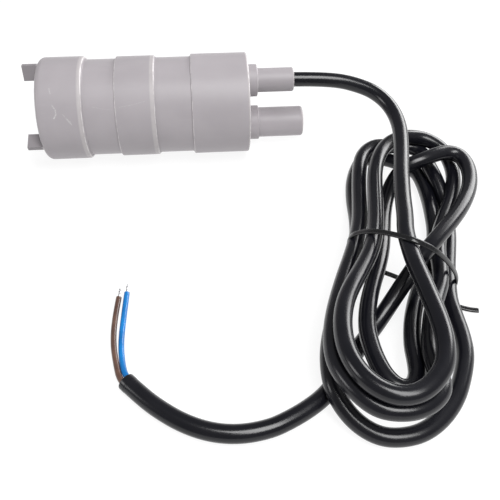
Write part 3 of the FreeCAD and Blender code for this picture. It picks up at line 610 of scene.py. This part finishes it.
def settle(piece, name, material, smooth=40):
    clearSelection()
    piece.select_set(True)
    bpy.context.view_layer.objects.active = piece
    bpy.ops.object.transform_apply(location=True, rotation=True, scale=True)
    bpy.ops.object.shade_smooth_by_angle(angle=math.radians(smooth))
    piece.name = name
    piece.data.name = name
    piece.data.materials.clear()
    piece.data.materials.append(material)
    return piece


# Cut end of the sheath: a ring with a softened rim and a recess that the cores come out of.
# Two places that are closer than a hair are one place.

cordEnd = Vector(cordPlan["tail"][-1])
cordOut = (cordEnd - Vector(cordPlan["tail"][-2])).normalized()
cordAside = Vector((cordOut.y, -cordOut.x, 0))
cutEndPlan = {"radius": 0.00313, "length": 0.0022, "proud": 0.0009, "wall": 0.0007,
              "recess": 0.0008, "soft": 0.00028, "sides": 64, "rounds": 3, "hair": 1e-5}


def makeCutEnd():
    plan = cutEndPlan
    clearSelection()
    turn = cordOut.to_track_quat("Z", "Y")
    middle = cordEnd + cordOut * (plan["proud"] - plan["length"] / 2)
    bpy.ops.mesh.primitive_cylinder_add(vertices=plan["sides"], radius=plan["radius"],
                                        depth=plan["length"], location=middle,
                                        rotation=turn.to_euler())
    piece = bpy.context.object
    pickFaces(piece, lambda face: face.normal.z > 0.9)  # the face that looks out
    bpy.ops.object.mode_set(mode="EDIT")
    bpy.ops.mesh.select_mode(type="FACE")
    bpy.ops.mesh.inset(thickness=plan["wall"])
    bpy.ops.mesh.extrude_region_move(
        TRANSFORM_OT_translate={"value": tuple(-cordOut * plan["recess"])})
    bpy.ops.object.mode_set(mode="OBJECT")
    top = plan["length"] / 2
    pickEdges(piece, lambda a, b: max(abs(a.z - top), abs(b.z - top),
                                      abs(a.xy.length - b.xy.length)) < plan["hair"])
    bpy.ops.object.mode_set(mode="EDIT")
    bpy.ops.mesh.select_mode(type="EDGE")
    bpy.ops.mesh.bevel(offset=plan["soft"], segments=plan["rounds"], affect="EDGES")
    bpy.ops.object.mode_set(mode="OBJECT")
    return settle(piece, "cutEnd", blackPvc, smooth=50)


cutEnd = makeCutEnd()

# The two cores: each starts inside the cut end, beside its middle, and runs straight out

coreStart = {"inside": 0.0006, "beside": 0.00115}


def leaveEnd(side, straight):
    beside = cordAside * (side * coreStart["beside"])
    return [cordEnd - cordOut * coreStart["inside"] + beside,
            cordEnd + beside + cordOut * straight]


corePlan = {
    "diameter": 0.0021,
    "blue": {
        "length": 0.042,
        "route": leaveEnd(1, 0.0024) + [
            (-0.0168, -0.1213, 0.0020), (-0.0178, -0.1130, 0.0014),
            (-0.0176, -0.1030, 0.0012), (-0.0168, -0.0895, 0.0013)],
        "seed": 3,
    },
    "brown": {
        "length": 0.0405,
        "route": leaveEnd(-1, 0.0026) + [
            (-0.0189, -0.1212, 0.0020), (-0.0206, -0.1120, 0.0013),
            (-0.0207, -0.1010, 0.0011), (-0.0197, -0.0915, 0.0012)],
        "seed": 5,
    },
}

# Tinned strands at a core's end: a twisted ring of them round a few in the middle.
# The bunch draws in at its waist, part way along, and each strand leans out at its tip.

strandPlan = {"count": 12, "outer": 9, "radius": 0.00013, "ring": 0.00042, "middle": 0.00016,
              "length": 0.0036, "uneven": (-0.0006, 0.0004), "inside": 0.0004, "lay": 1.9,
              "lean": (0.00002, 0.00022), "waist": 0.3, "waistTurn": 2.4, "spans": 5}


def makeStrands(name, route, seed):
    plan = strandPlan
    end = Vector(route[-1])
    along = (end - Vector(route[-2])).normalized()
    side = along.orthogonal().normalized()
    other = along.cross(side)
    dice = random.Random(seed)
    curve = startCurve(name, plan["radius"], steps=4, roundness=2)
    outer = plan["outer"]
    inner = plan["count"] - outer
    for k in range(plan["count"]):
        start = math.tau * k / (outer if k < outer else inner)
        ring = plan["ring"] if k < outer else plan["middle"]
        length = plan["length"] + dice.uniform(*plan["uneven"])
        lean = dice.uniform(*plan["lean"])
        strand = []
        for i in range(plan["spans"] + 1):
            share = i / plan["spans"]
            angle = start + plan["lay"] * share
            waist = 1 - plan["waist"] * math.sin(share * plan["waistTurn"])
            out = ring * waist + lean * share ** 3
            place = end + along * (length * share - plan["inside"] * (1 - share))
            place += (side * math.cos(angle) + other * math.sin(angle)) * out
            strand.append(place)
        addLine(curve, strand)
    return finishCurve(name, curve, tinnedCopper)


cores = {}
for colour, skin in (("blue", bluePvc), ("brown", brownPvc)):
    plan = corePlan[colour]
    core = drawCord(colour + "Core", plan["route"], corePlan["diameter"] / 2, skin,
                    steps=10, roundness=6)
    strands = makeStrands(colour + "Strands", plan["route"], plan["seed"])
    cores[colour] = (core, strands)
print("cut end and cores made")


# Thin uneven beads of glue where the tube meets the caps and the band. A ripple swells them
# where it is over its rest level and thins them where it is under.

glueMesh = {"around": 260, "across": 10, "rest": 0.55}
gluePlan = {
    "capGlue": {"x": -0.03480, "radius": 0.02052, "bead": 0.00042, "swell": 0.00050,
                "patch": 0.0040},
    "bandGlueLeft": {"x": -0.02143, "radius": 0.02050, "bead": 0.00030, "swell": 0.00055,
                     "patch": 0.0055},
    "bandGlueRight": {"x": -0.00488, "radius": 0.02050, "bead": 0.00028, "swell": 0.00035,
                      "patch": 0.0045},
    "topGlue": {"x": 0.01033, "radius": 0.02050, "bead": 0.00032, "swell": 0.00055,
                "patch": 0.0050},
}


def makeGlue(name, plan, material):
    clearSelection()
    bpy.ops.mesh.primitive_torus_add(location=(plan["x"], 0, axisHeight),
                                     rotation=(0, math.pi / 2, 0),
                                     major_segments=glueMesh["around"],
                                     minor_segments=glueMesh["across"],
                                     major_radius=plan["radius"], minor_radius=plan["bead"])
    piece = bpy.context.object
    bpy.ops.object.transform_apply(location=True, rotation=True, scale=True)
    ripple = bpy.data.textures.new(name + "Ripple", "CLOUDS")
    ripple.noise_scale = plan["patch"]
    ripple.noise_depth = 3
    swell = piece.modifiers.new("swell", "DISPLACE")
    swell.texture = ripple
    swell.texture_coords = "LOCAL"
    swell.strength = plan["swell"]
    swell.mid_level = glueMesh["rest"]
    bpy.ops.object.modifier_apply(modifier="swell")
    return settle(piece, name, material, smooth=60)


glueGrey = mouldedGrey("glueGrey", tint(greyTone, 1.04))
beads = [makeGlue(name, plan, glueGrey) for name, plan in gluePlan.items()]
print("glue beads made")


# Pale floor and soft light: a bright window to the right, a softbox overhead, a weak card
# to the left and a grey sky all round

lights = {
    "window": {"place": (0.76, 0.54, 0.33), "aim": (0.05, -0.06, 0.01),
               "size": (0.72, 0.46), "power": 8.6},
    "leftCard": {"place": (-0.85, -0.15, 0.40), "aim": (-0.02, 0.0, 0.02),
                 "size": (0.30, 0.30), "power": 1.4},
    "ceiling": {"place": (0.20, -0.38, 0.91), "aim": (0.03, -0.05, 0.0),
                "size": (0.42, 0.72), "power": 10.4},
}
skyStrength = 0.26
floorPlan = {"size": 6, "drop": 0.00005, "patch": 0.4, "low": (0.14, 0.14, 0.14),
             "high": (0.16, 0.16, 0.16), "glow": 0.88}


def makeFloor():
    plan = floorPlan
    clearSelection()
    bpy.ops.mesh.primitive_plane_add(size=plan["size"], location=(0, 0, -plan["drop"]))
    floor = bpy.context.object
    f = Finish("floorPaper")
    paper = f.cloud(plan["patch"], 3, 0.5)
    material = f.surface(Base_Color=f.blend(paper, plan["low"], plan["high"]),
                         Roughness=0.95, Specular_IOR_Level=0.05,
                         Emission_Color=(1.0, 1.0, 1.0), Emission_Strength=plan["glow"])
    settle(floor, "floor", material)


def makeLight(name, plan):
    data = bpy.data.lights.new(name, "AREA")
    data.shape = "RECTANGLE"
    data.size, data.size_y = plan["size"]
    data.energy = plan["power"]
    lamp = bpy.data.objects.new(name, data)
    scene.collection.objects.link(lamp)
    lamp.location = plan["place"]
    aim = Vector(plan["aim"]) - Vector(plan["place"])
    lamp.rotation_euler = aim.to_track_quat("-Z", "Y").to_euler()


def makeSky(strength):
    world = bpy.data.worlds.new("studio")
    scene.world = world
    world.use_nodes = True
    sky = next(n for n in world.node_tree.nodes if n.type == "BACKGROUND")
    sky.inputs["Color"].default_value = (1, 1, 1, 1)
    sky.inputs["Strength"].default_value = strength


makeFloor()
for name, plan in lights.items():
    makeLight(name, plan)
makeSky(skyStrength)
scene.view_settings.view_transform = "Standard"
print("floor and lights set")


# What each piece rides on and what it stands for

def enter(piece, slot, *stoodFor):
    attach(piece, "pump")
    if stoodFor:
        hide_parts(*stoodFor)


enter(pumpCord, "sheath", "cord_lead", "cord_hank", "cord_tail")
enter(cutEnd, "sheath")
enter(wireTie, "tie", "hank_tie")
for colour, (core, strands) in cores.items():
    enter(core, colour + "_core", "core_" + colour)
    enter(strands, "tinned", "bare_tip_" + colour)
for bead in beads:
    enter(bead, "shell")
for colour, (core, strands) in cores.items():
    plan = corePlan[colour]

print("pieces entered")
